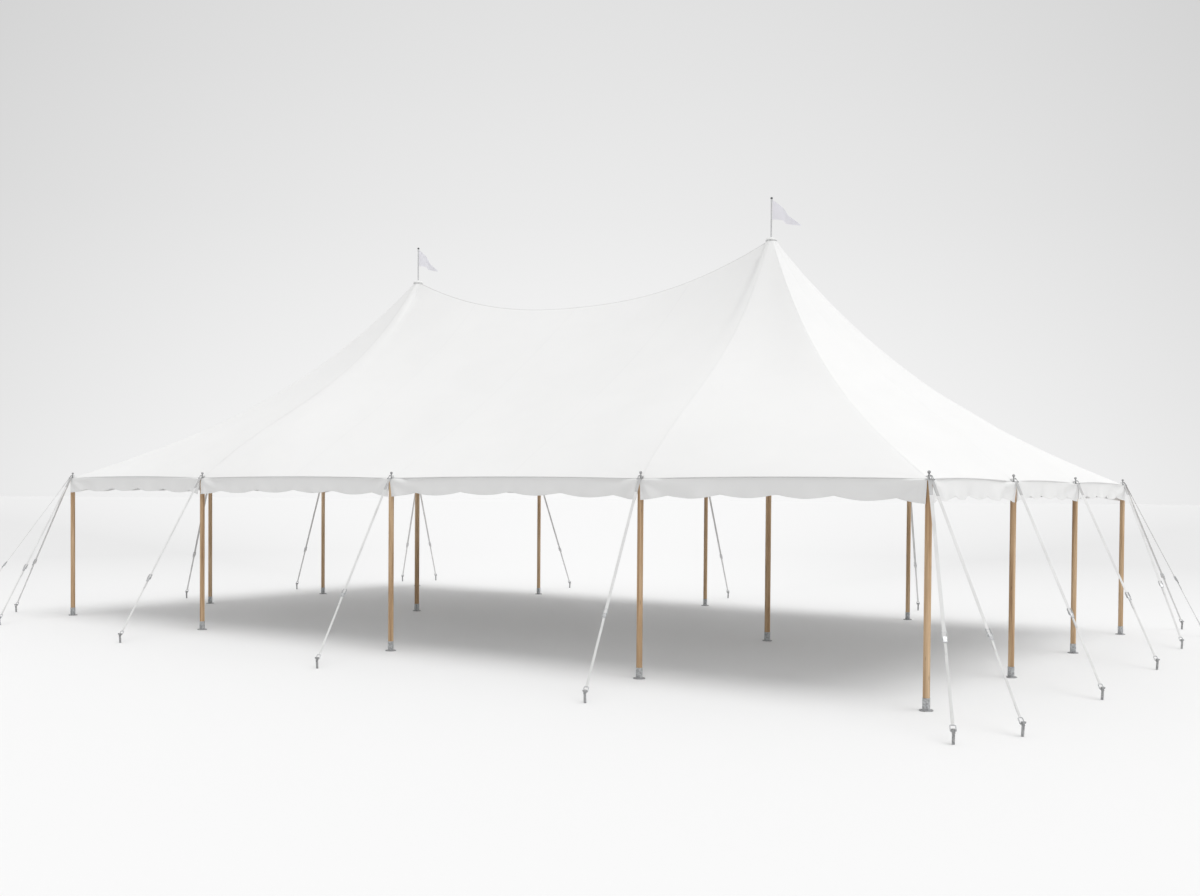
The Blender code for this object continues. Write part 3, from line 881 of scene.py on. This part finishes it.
def plate_bmesh():
    """Round foot plate with eased edges and four bolt heads on it."""
    rim = PLATE_RADIUS - 0.002
    bm = turned([(0, 0), (rim, 0), (PLATE_RADIUS, 0.002), (PLATE_RADIUS, 0.0075), (rim, PLATE_TOP),
                 (0, PLATE_TOP)], sides=48)
    for number in range(4):
        angle = pi / 4 + pi / 2 * number
        place = shift((0.061 * cos(angle), 0.061 * sin(angle), PLATE_TOP + 0.0002))
        add(bm, turned([(0, 0), (0.007, 0), (0.007, 0.003), (0.005, 0.0045), (0, 0.0045)], sides=6), place)
    return bm


def build_pole(label, x, y, radius, top, prefix=""):
    """A pole's shaft and its foot."""
    place = shift((x, y, 0))
    pole, foot = f"{prefix}pole_{label}", f"{prefix}foot_{label}"
    for bm, name, mat, slot, replaced in (
            (pole_bmesh(radius, SHAFT_FOOT, top), f"{pole}_shaft", WOOD, "pole_wood", (pole,)),
            (sleeve_bmesh(radius), f"{foot}_sleeve", STEEL, "galvanized_steel", (foot,)),
            (plate_bmesh(), f"{foot}_plate", FORGED, "galvanized_steel", ())):
        piece(moved(bm, place), name, mat, replaced=replaced)


def build_poles():
    for label, x, y in label_places():
        build_pole(label, x, y, SIDE_RADIUS, POLE_TOP)
        pin = moved(pin_bmesh(), shift((x, y, 0)))
        piece(pin, f"pole_{label}_pin", FORGED)
    for label, sign in ENDS:
        build_pole(label, sign * PEAK_X, 0, CENTRE_RADIUS, CENTRE_POLE_TOP, prefix="centre_")


CAP_RIM = PEAK_Z + CLEARANCE
SPINDLE_RADIUS = 0.0125
SPINDLE_TOP = 6.935
SPINDLE_BALL = 0.0195
SPINDLE_RINGS = (0.30, 0.62)


def collar_bmesh():
    """The flanged collar that the canopy is clamped to."""
    foot = CENTRE_POLE_TOP + CLEARANCE
    return turned([(0, foot), (0.0747, foot), (0.0747, CAP_RIM), (0.0885, CAP_RIM), (0.0905, CAP_RIM + 0.002),
                   (0.0905, CAP_RIM + 0.007), (0.088, CAP_RIM + 0.009), (0, CAP_RIM + 0.009)], sides=48)


def cover_bmesh():
    """The cap's domed cover with a socket for the spindle."""
    rises = ((0, 0.0093), (0.086, 0.0093), (0.0895, 0.013), (0.0900, 0.024), (0.0860, 0.033), (0.070, 0.040),
             (0.040, 0.046), (0.022, 0.050), (0.0165, 0.062), (0, 0.062))
    return turned([(radius, CAP_RIM + rise) for radius, rise in rises], sides=48)


def spindle_bmesh():
    """The flag spindle with its two rings."""
    foot, top = CAP_RIM + 0.0623, SPINDLE_TOP - 0.030
    bm = turned([(0, foot), (SPINDLE_RADIUS, foot), (SPINDLE_RADIUS, top - 0.003), (0.008, top), (0, top)],
                sides=24)
    for height in SPINDLE_RINGS:
        level = PEAK_Z + height
        add(bm, turned([(0.0127, level), (0.0150, level + 0.002), (0.0150, level + 0.012),
                        (0.0127, level + 0.014)], sides=24))
    return bm


def build_caps():
    for label, sign in ENDS:
        middle = SPINDLE_TOP - SPINDLE_BALL
        ball_profile = [(0, middle - SPINDLE_BALL), *ball(SPINDLE_BALL, middle, -75), (0, SPINDLE_TOP)]
        name = f"peak_cap_{label}"
        for bm, part, mat, slot, replaced in (
                (collar_bmesh(), "collar", ALUMINIUM, "galvanized_steel", (name,)),
                (cover_bmesh(), "cover", PAINT, "painted_metal", ()),
                (spindle_bmesh(), "spindle", ALUMINIUM, "galvanized_steel", ()),
                (turned(ball_profile, sides=24), "ball", DARK_STEEL, "galvanized_steel", ())):
            moved(bm, shift((sign * PEAK_X, 0, 0)))
            piece(bm, f"{name}_{part}", mat, replaced=replaced)


# Pennants: the upper and lower edge, as (distance from the spindle, height under the top)
PENNANT_TOP = 6.89
PENNANT_UPPER = ((0.0, 0.0), (0.10, 0.078), (0.192, 0.156), (0.271, 0.279), (0.376, 0.352), (0.505, 0.450))
PENNANT_LOWER = ((0.0, 0.305), (0.10, 0.320), (0.18, 0.336), (0.228, 0.399), (0.36, 0.430), (0.505, 0.460))
PENNANT_REACH = 0.505
PENNANT_OFF = 0.017
PENNANT_TIES = (0.006, 0.148, 0.290)
PENNANT_COLUMNS = 60
PENNANT_ROWS = 24
PENNANT_WAVE = 0.014
PENNANT_THICKNESS = 0.0008
TIE_RADIUS = 0.0145


def edge_height(edge, away):
    """How far a pennant's edge is under its top, at a distance from the spindle."""
    for (x0, z0), (x1, z1) in zip(edge, edge[1:]):
        if away <= x1:
            return z0 + (z1 - z0) * (away - x0) / (x1 - x0)
    return edge[-1][1]


def soft_edge_height(edge, away):
    """The same with the edge's corners rounded off."""
    spread = 0.02 * smooth(away, 0.0, 0.05) * (1 - smooth(away, 0.46, PENNANT_REACH))
    return sum(edge_height(edge, away + spread * shift) for shift in (-1, -0.5, 0, 0.5, 1)) / 5


def pennant_point(away, share):
    """A point of a pennant, by the distance from its spindle and the share of the way down."""
    upper, lower = soft_edge_height(PENNANT_UPPER, away), soft_edge_height(PENNANT_LOWER, away)
    wave = PENNANT_WAVE * sin(11.0 * away - 1.2 * share) * smooth(away, 0.0, 0.25)
    return Vector((PENNANT_OFF + away, wave, PENNANT_TOP - upper - (lower - upper) * share))


def build_pennants():
    for label, sign in ENDS:
        place = shift((sign * PEAK_X, 0, 0))
        bm = bmesh.new()
        grid(bm, [[pennant_point(PENNANT_REACH * column / PENNANT_COLUMNS, row / PENNANT_ROWS)
                   for row in range(PENNANT_ROWS + 1)] for column in range(PENNANT_COLUMNS + 1)])
        area = surface_area(bm)
        closed_sheet(bm, PENNANT_THICKNESS, Vector((0, 1, 0)))
        cloth = piece(moved(bm, place), f"pennant_{label}_cloth", PENNANT, sharp=60,
                      replaced=(f"pennant_{label}",))
        ties = bmesh.new()
        for height in PENNANT_TIES:
            level = PENNANT_TOP - height
            loop = [Vector((TIE_RADIUS * x, TIE_RADIUS * y, level)) for x, y in circle(20)]
            add(ties, rod(loop, 0.0016, sides=8, closed=True))
            add(ties, block((0.016, 0.003, 0.004), 0.0008, shift((0.0215, 0, level))))
        ties = piece(moved(ties, place), f"pennant_{label}_ties", PENNANT)


# Guys
RING_RADIUS = 0.036
RING_BOTTOM = 2.524
RING_TOP = 2.532
STRAP_TOP_Z = 2.530
UPPER_WIDTH = 0.038
STRAP_WIDTH = 0.031
STRAP_THICKNESS = 0.0035
TAB_END = 0.25
RATCHET_AT = 0.66
LINK_LENGTH = 0.078
LINK_BAR = 0.011
STAKE_RADIUS = 0.0150
STAKE_HEIGHT = 0.15
STAKE_HEAD = 0.022
STAKE_LEAN = 0.012
STAKE_FLARE = 0.0035
RING_HOLE = 0.0083
LOOP_AT = 0.045
SHACKLE_BOW = 0.021
SPOOL_Y = 0.002
SPOOL_Z = 0.012
LINK_RADIUS = 0.0062
LINK_CORNER = 0.012
LINK_HALF = 0.0265
SIDE_GUY = (0.50, -1.85)
RIGHT_END_GUY = (1.36, -1.08)
LEFT_END_GUY = (1.36, -0.45)
CORNER_GUYS = ((0.85, -1.58), (1.26, -0.80))
BACK_RIGHT_GUYS = ((0.68, 1.50), (1.16, 0.55), (1.20, -1.45))
FRONT_LEFT_GUYS = ((-0.55, 1.68), (0.96, 1.38), (1.30, 0.33))


def guy_spreads(x, y):
    """Ground offsets of a pole's stakes."""
    at_end = abs(abs(x) - HALF_LENGTH) < 0.01
    at_side = abs(abs(y) - HALF_WIDTH) < 0.01
    turn = 1 if (at_end and x > 0) or (not at_end and y < 0) else -1
    if not at_end:
        spreads = [SIDE_GUY]
    elif not at_side:
        spreads = [RIGHT_END_GUY if x > 0 else LEFT_END_GUY]
    elif x * y < 0:
        spreads = CORNER_GUYS
    elif x > 0:
        spreads = BACK_RIGHT_GUYS
    else:
        spreads = FRONT_LEFT_GUYS
    return [Vector((turn * dx, turn * dy, 0)) for dx, dy in spreads]


def guy_frame(origin, along):
    """Z along the guy, X level across the webbing, Y up off its face."""
    turn = along.to_track_quat("Z", "Y").to_matrix().to_4x4()
    turn.translation = origin
    return turn


def strap_band(start, end, width, thickness, lift=0.0):
    """A run of webbing along local Z, with rounded edges, ribbed by its material."""
    bm = bmesh.new()
    half, thick = width / 2, thickness / 2
    shoulder = half - thick * 0.6
    section = ((-half, 0), (-shoulder, thick), (shoulder, thick),
               (half, 0), (shoulder, -thick), (-shoulder, -thick))
    levels = [start + (end - start) * step / 24 for step in range(25)]
    return tube(bm, [[bm.verts.new((x, y + lift, z)) for x, y in section] for z in levels])


def shackle_bmesh():
    """Bow shackle in local XZ: the bow towards the post, the pin across the strap's loop."""
    turns = [pi * (1 - step / 14) for step in range(15)]
    bow_line = [Vector((SHACKLE_BOW * cos(a), 0, 0.008 - SHACKLE_BOW * sin(a))) for a in turns]
    tips = [Vector((side * SHACKLE_BOW, 0, LOOP_AT + 0.001)) for side in (-1, 1)]
    bm = rod([tips[0], *bow_line, tips[1]], 0.0045, sides=10)
    add(bm, cross_bar(0.034, 0, LOOP_AT, 0.0048, 12))
    for x in (-0.034, 0.026):
        nut = turned([(0, 0), (0.0095, 0), (0.0095, 0.008), (0, 0.008)], sides=6)
        add(bm, nut, shift((x, 0, LOOP_AT)) @ Matrix.Rotation(pi / 2, 4, "Y"))
    return bm


def plate_across(x, half, outline):
    """A flat plate across X with an outline in YZ."""
    bm = bmesh.new()
    return tube(bm, [[bm.verts.new((side, y, z)) for y, z in outline] for side in (x - half, x + half)])


PLATE_OUTLINE = ((-0.006, -0.062), (0.010, -0.062), (0.014, -0.02), (0.016, 0.012), (0.010, 0.030),
                 (-0.008, 0.030), (-0.010, 0.0))
WHEEL_RADII = (0.0115, 0.014)
WHEEL_TEETH = 14
WHEEL_OUTLINE = [(SPOOL_Y + radius * across, SPOOL_Z + radius * up)
                 for radius, (across, up) in zip(WHEEL_RADII * WHEEL_TEETH, circle(2 * WHEEL_TEETH))]


def ratchet_bmesh():
    """Ratchet buckle: two side plates, toothed wheels, spool, base bar and handle."""
    bm = bmesh.new()
    for x, half, outline in ((0.0245, 0.0012, PLATE_OUTLINE), (0.0205, 0.001, WHEEL_OUTLINE)):
        add(bm, plate_across(-x, half, outline))
        add(bm, plate_across(x, half, outline))
    add(bm, cross_bar(0.0285, SPOOL_Y, SPOOL_Z, 0.006, 16))
    add(bm, cross_bar(0.0275, 0.0, -0.055, 0.0035, 12))
    add(bm, block((0.040, 0.0025, 0.060), 0.001, shift((0, 0.0145, 0.034))))
    for side in (-1, 1):
        add(bm, block((0.0025, 0.012, 0.060), 0.001, shift((side * 0.0195, 0.0095, 0.034))))
    add(bm, cross_bar(0.024, 0.0115, 0.064, 0.0045, 12))
    return bm


def spool_bmesh():
    """Webbing wound on the ratchet's spool."""
    bm = turned([(0.0062, 0), (0.0118, 0), (0.0122, 0.002), (0.0122, 0.033), (0.0118, 0.035),
                 (0.0062, 0.035)], sides=28)
    return moved(bm, shift((-0.0175, SPOOL_Y, SPOOL_Z)) @ Matrix.Rotation(pi / 2, 4, "Y"))


def link_bmesh():
    """Rounded steel link, its far bar against the stake's neck."""
    side = LINK_HALF - LINK_CORNER
    near = 0.006 + LINK_CORNER
    far = LINK_LENGTH - near
    points = []
    for x, z, first in ((side, far, 0), (-side, far, 90), (-side, near, 180), (side, near, 270)):
        for step in range(6):
            angle = radians(first + 18 * step)
            points.append(Vector((x + LINK_CORNER * cos(angle), 0, z + LINK_CORNER * sin(angle))))
    return rod(points, LINK_RADIUS, sides=12, closed=True)


def stake_bmesh(lean):
    """Driven steel stake with a struck, flared head and a hooked collar for the link."""
    neck = STAKE_HEIGHT - STAKE_HEAD
    collar = STAKE_RADIUS + STAKE_FLARE
    profile = [(0, 0), (STAKE_RADIUS, 0), (STAKE_RADIUS, neck - 0.022), (collar, neck - 0.020),
               (collar, neck - 0.016), (STAKE_RADIUS - 0.001, neck - 0.014), (STAKE_RADIUS, neck - 0.002),
               (0.024, neck + 0.002), (0.0262, neck + 0.006), (0.0265, neck + 0.015), (0.0245, neck + 0.020),
               (0.018, STAKE_HEIGHT - 0.0005), (0, STAKE_HEIGHT)]
    bm = turned(profile, sides=28)
    for vert in bm.verts:
        vert.co += lean * vert.co.z
    return bm


def build_guy(label, x, y):
    """A pole's head ring with every guy that hangs on it, down to the stakes."""
    webbing, tabs, ratchets, head, ground = (bmesh.new() for _ in range(5))
    rim = RING_RADIUS - 0.001
    ring = turned([(RING_HOLE, RING_BOTTOM), (rim, RING_BOTTOM), (RING_RADIUS, RING_BOTTOM + 0.001),
                   (RING_RADIUS, RING_TOP - 0.001), (rim, RING_TOP), (RING_HOLE, RING_TOP),
                   (RING_HOLE, RING_BOTTOM)], sides=36)
    add(head, weld(ring), shift((x, y, 0)))
    for spread in guy_spreads(x, y):
        outward = spread.normalized()
        foot = Vector((x, y, 0)) + spread
        start = Vector((x, y, STRAP_TOP_Z)) + outward * (RING_RADIUS - 0.006)
        neck_z = STAKE_HEIGHT - STAKE_HEAD - 0.012
        end = foot + outward * (STAKE_LEAN - STAKE_RADIUS + 0.004) + UP * neck_z
        run = end - start
        along = run.normalized()
        here = guy_frame(start, along)
        strap_end = run.length - LINK_LENGTH + LINK_BAR / 2
        ratchet_z = run.length * RATCHET_AT
        add(head, shackle_bmesh(), here)
        add(webbing, strap_band(LOOP_AT, ratchet_z, UPPER_WIDTH, STRAP_THICKNESS), here)
        add(webbing, strap_band(ratchet_z, strap_end, STRAP_WIDTH, STRAP_THICKNESS), here)
        add(tabs, strap_band(LOOP_AT - 0.004, TAB_END, UPPER_WIDTH + 0.002, 0.007), here)
        add(webbing, strap_band(strap_end - 0.14, strap_end + 0.001, STRAP_WIDTH, 0.008), here)
        at = guy_frame(start + run * RATCHET_AT, along)
        add(ratchets, ratchet_bmesh(), at)
        add(webbing, spool_bmesh(), at)
        add(webbing, strap_band(0.02, 0.19, STRAP_WIDTH - 0.004, 0.003, lift=0.007), at)
        add(ratchets, link_bmesh(), guy_frame(end - along * LINK_LENGTH, along))
        add(ground, stake_bmesh(outward * STAKE_LEAN / STAKE_HEIGHT), shift(foot))
    name = f"guy_{label}"
    piece(webbing, f"{name}_webbing", WEBBING, replaced=(name,))
    piece(tabs, f"{name}_tabs", TAB)
    piece(ratchets, f"{name}_ratchets_and_links", ZINC)
    piece(head, f"{name}_head_ring", FORGED)
    piece(ground, f"{name}_stakes", FORGED)


# Camera, floor and light
CAMERA_PLACE = (12.7973, -17.4783, 2.3671)
CAMERA_YAW = 0.6122
CAMERA_PITCH = -0.0196
CAMERA_ROLL = 0.0074
CAMERA_LENS = 37.34
CAMERA_SHIFT_Y = 0.0543


def build_camera():
    data = bpy.data.cameras.new("camera")
    data.sensor_fit = "HORIZONTAL"
    data.sensor_width = 36.0
    data.lens = CAMERA_LENS
    data.shift_y = CAMERA_SHIFT_Y
    data.clip_end = 400.0
    camera = linked("camera", data)
    turn = Matrix.Rotation(CAMERA_YAW, 4, "Z") @ Matrix.Rotation(pi / 2 + CAMERA_PITCH, 4, "X")
    turn = turn @ Matrix.Rotation(CAMERA_ROLL, 4, "Z")
    turn.translation = CAMERA_PLACE
    camera.matrix_world = turn
    bpy.context.scene.camera = camera


FLOOR_RADIUS = 260.0
PICTURE_WAY = Vector((-0.575, 0.818, 0.0))
FLOOR_PLAIN = 4.0
FLOOR_FADE = 26.0
FLOOR_SHADE = (0.835, 0.835, 0.835, 1.0)


def build_floor():
    """A plain pale floor with painted shade that darkens it far out to both sides, as the backdrop does."""
    mat, tree, shader = node_material("studio_floor", (0.8, 0.8, 0.8), 0.9)
    shader.inputs["Specular IOR Level"].default_value = 0.1
    place = coordinates(tree)
    toward = vector_maths(tree, "DOT_PRODUCT", vector_maths(tree, "NORMALIZE", place), PICTURE_WAY)
    # Painted shade: the floor's colour turns darker far out to both sides, standing in for the studio light
    # falling off there.
    far = ramp(tree, toward, [(0.0, 0.835), (0.35, 0.73), (0.84, 0.715), (1.0, 0.83)])
    distance = maths(tree, "MULTIPLY", vector_maths(tree, "LENGTH", place), 1 / FLOOR_FADE)
    share = ramp(tree, distance, [(FLOOR_PLAIN / FLOOR_FADE, 0.0), (1.0, 1.0)])
    tree.links.new(mixed(tree, "MIX", share, FLOOR_SHADE, far), shader.inputs["Base Color"])
    bm = bmesh.new()
    bmesh.ops.create_circle(bm, cap_ends=True, segments=96, radius=FLOOR_RADIUS)
    mesh = as_mesh(bm, "floor")
    mesh.materials.append(mat)
    linked("floor", mesh)


KEY_FROM = Vector((0.38, -0.06, 1.0))
KEY_ENERGY = 1.36
KEY_SPREAD = radians(46)


def build_light():
    """A studio: a pale backdrop, a bright ceiling, and less light from the front."""
    world = bpy.data.worlds.new("studio")
    bpy.context.scene.world = world
    world.use_nodes = True
    tree = world.node_tree
    way = coordinates(tree, "Generated")
    up = vector_maths(tree, "DOT_PRODUCT", way, UP)
    back = maths(tree, "MULTIPLY_ADD", vector_maths(tree, "DOT_PRODUCT", way, (0, 1, 0)), 0.5, 0.5)
    walls = ramp(tree, back, [(0.0, 0.02), (0.45, 0.60), (0.75, 0.95), (1.0, 1.0)])
    ceiling = ramp(tree, up, [(0.0, 0.735), (1.0, 0.775)])
    studio = mixed(tree, "MIX", ramp(tree, up, [(0.10, 0.0), (0.42, 1.0)]), walls, ceiling)
    height = ramp(tree, up, [(0.0, 0.955), (0.07, 0.92), (0.15, 0.885), (0.21, 0.858), (0.31, 0.84),
                             (1.0, 0.80)])
    middle = ramp(tree, vector_maths(tree, "DOT_PRODUCT", way, PICTURE_WAY), [(0.80, 0.72), (1.0, 1.0)])
    backdrop = mixed(tree, "MULTIPLY", 1.0, height, middle)
    rays = tree.nodes.new("ShaderNodeLightPath")
    background = tree.nodes["Background"]
    shown = mixed(tree, "MIX", rays.outputs["Is Camera Ray"], studio, backdrop)
    tree.links.new(shown, background.inputs["Color"])
    key = bpy.data.lights.new("key", "SUN")
    key.energy = KEY_ENERGY
    key.angle = KEY_SPREAD
    linked("key", key).rotation_euler = KEY_FROM.to_track_quat("Z", "Y").to_euler()
    bpy.context.scene.view_settings.view_transform = "Standard"


build_camera()
build_middle()
build_end(1, "right")
build_end(-1, "left")
side_end = HALF_LENGTH - HEM_INSET
end_end = HALF_WIDTH - CANOPY_INSET
for row, sign in SIDES:
    build_valance(f"valance_{row}", SIDE_BAYS, SIDE_POSTS, lambda x, s=sign: side_eave(x, s, HEM_INSET),
                  Vector((0, sign, 0)), 1.0 + sign, (-side_end, side_end))
for row, sign in ENDS:
    build_valance(f"valance_{row}", END_BAYS, END_POSTS, lambda y, s=sign: end_eave(y, s, HEM_INSET),
                  Vector((sign, 0, 0)), 3.0 + sign, (-end_end, end_end))
build_poles()
build_caps()
build_pennants()
for label, x, y in label_places():
    build_guy(label, x, y)
build_floor()
build_light()
